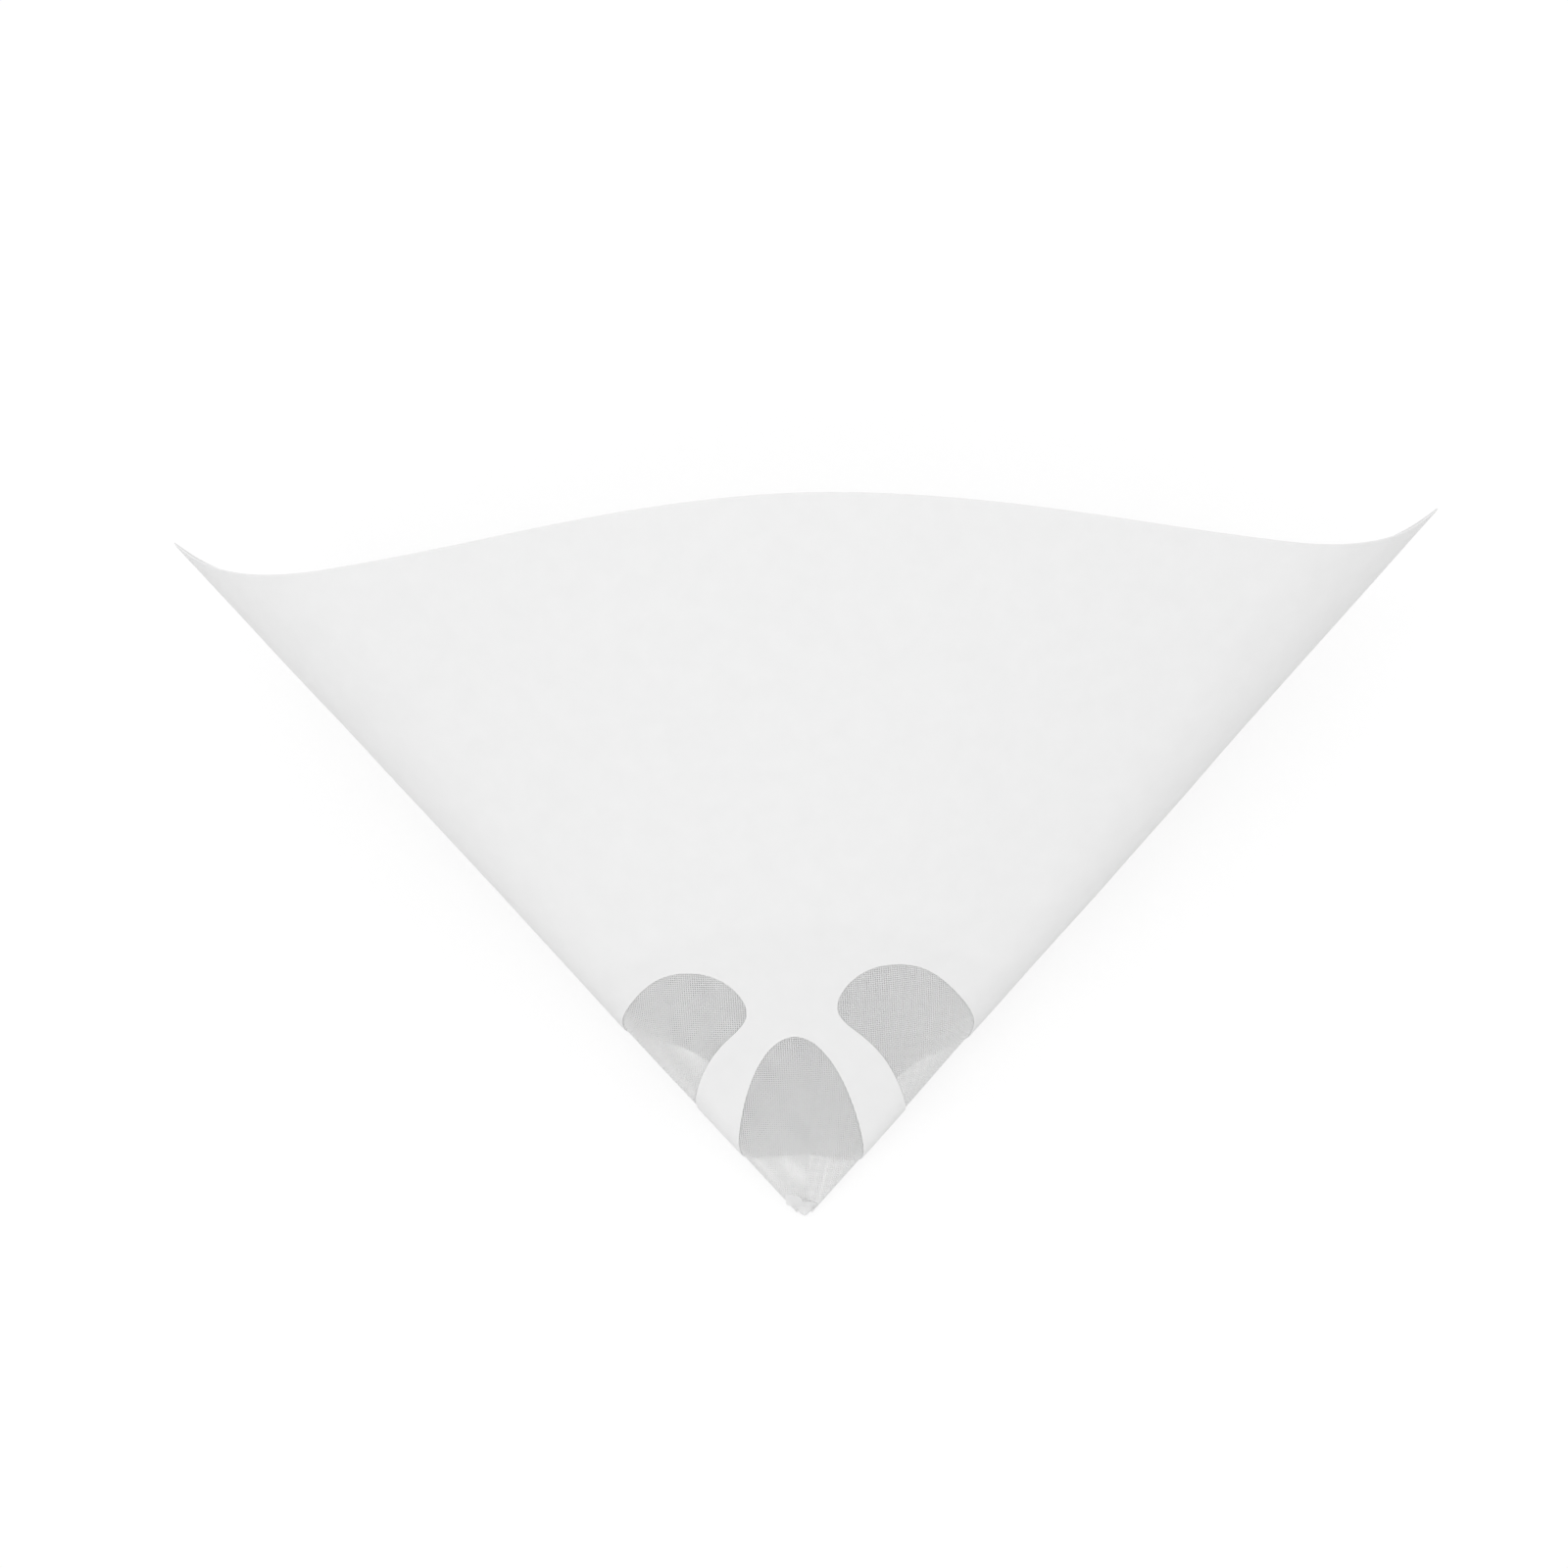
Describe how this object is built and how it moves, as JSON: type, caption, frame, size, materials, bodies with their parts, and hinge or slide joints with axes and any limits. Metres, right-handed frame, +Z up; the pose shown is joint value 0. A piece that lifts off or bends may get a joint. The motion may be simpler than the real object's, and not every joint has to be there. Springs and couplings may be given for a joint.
{
  "type": "paper filter funnel",
  "caption": "Disposable paper cone for straining paint, part open between its two folds, with die-cut windows round the tip over a nylon net.",
  "frame": {"origin": "middle of the footprint, on the surface that the funnel lies on", "axes": "+X across the mouth from crease to crease, +Y from the tip to the mouth, +Z up; the front ply faces up and towards -Y"},
  "size_m": [0.229, 0.1368, 0.0884],
  "materials": {
    "white_paper": "uncoated white paper, matt, with fine fibres",
    "nylon_net": "fine plain-woven white nylon net"
  },
  "bodies": {
    "root": {"paper_cone": "white_paper", "filter_mesh": "nylon_net"}
  },
  "joints": []
}
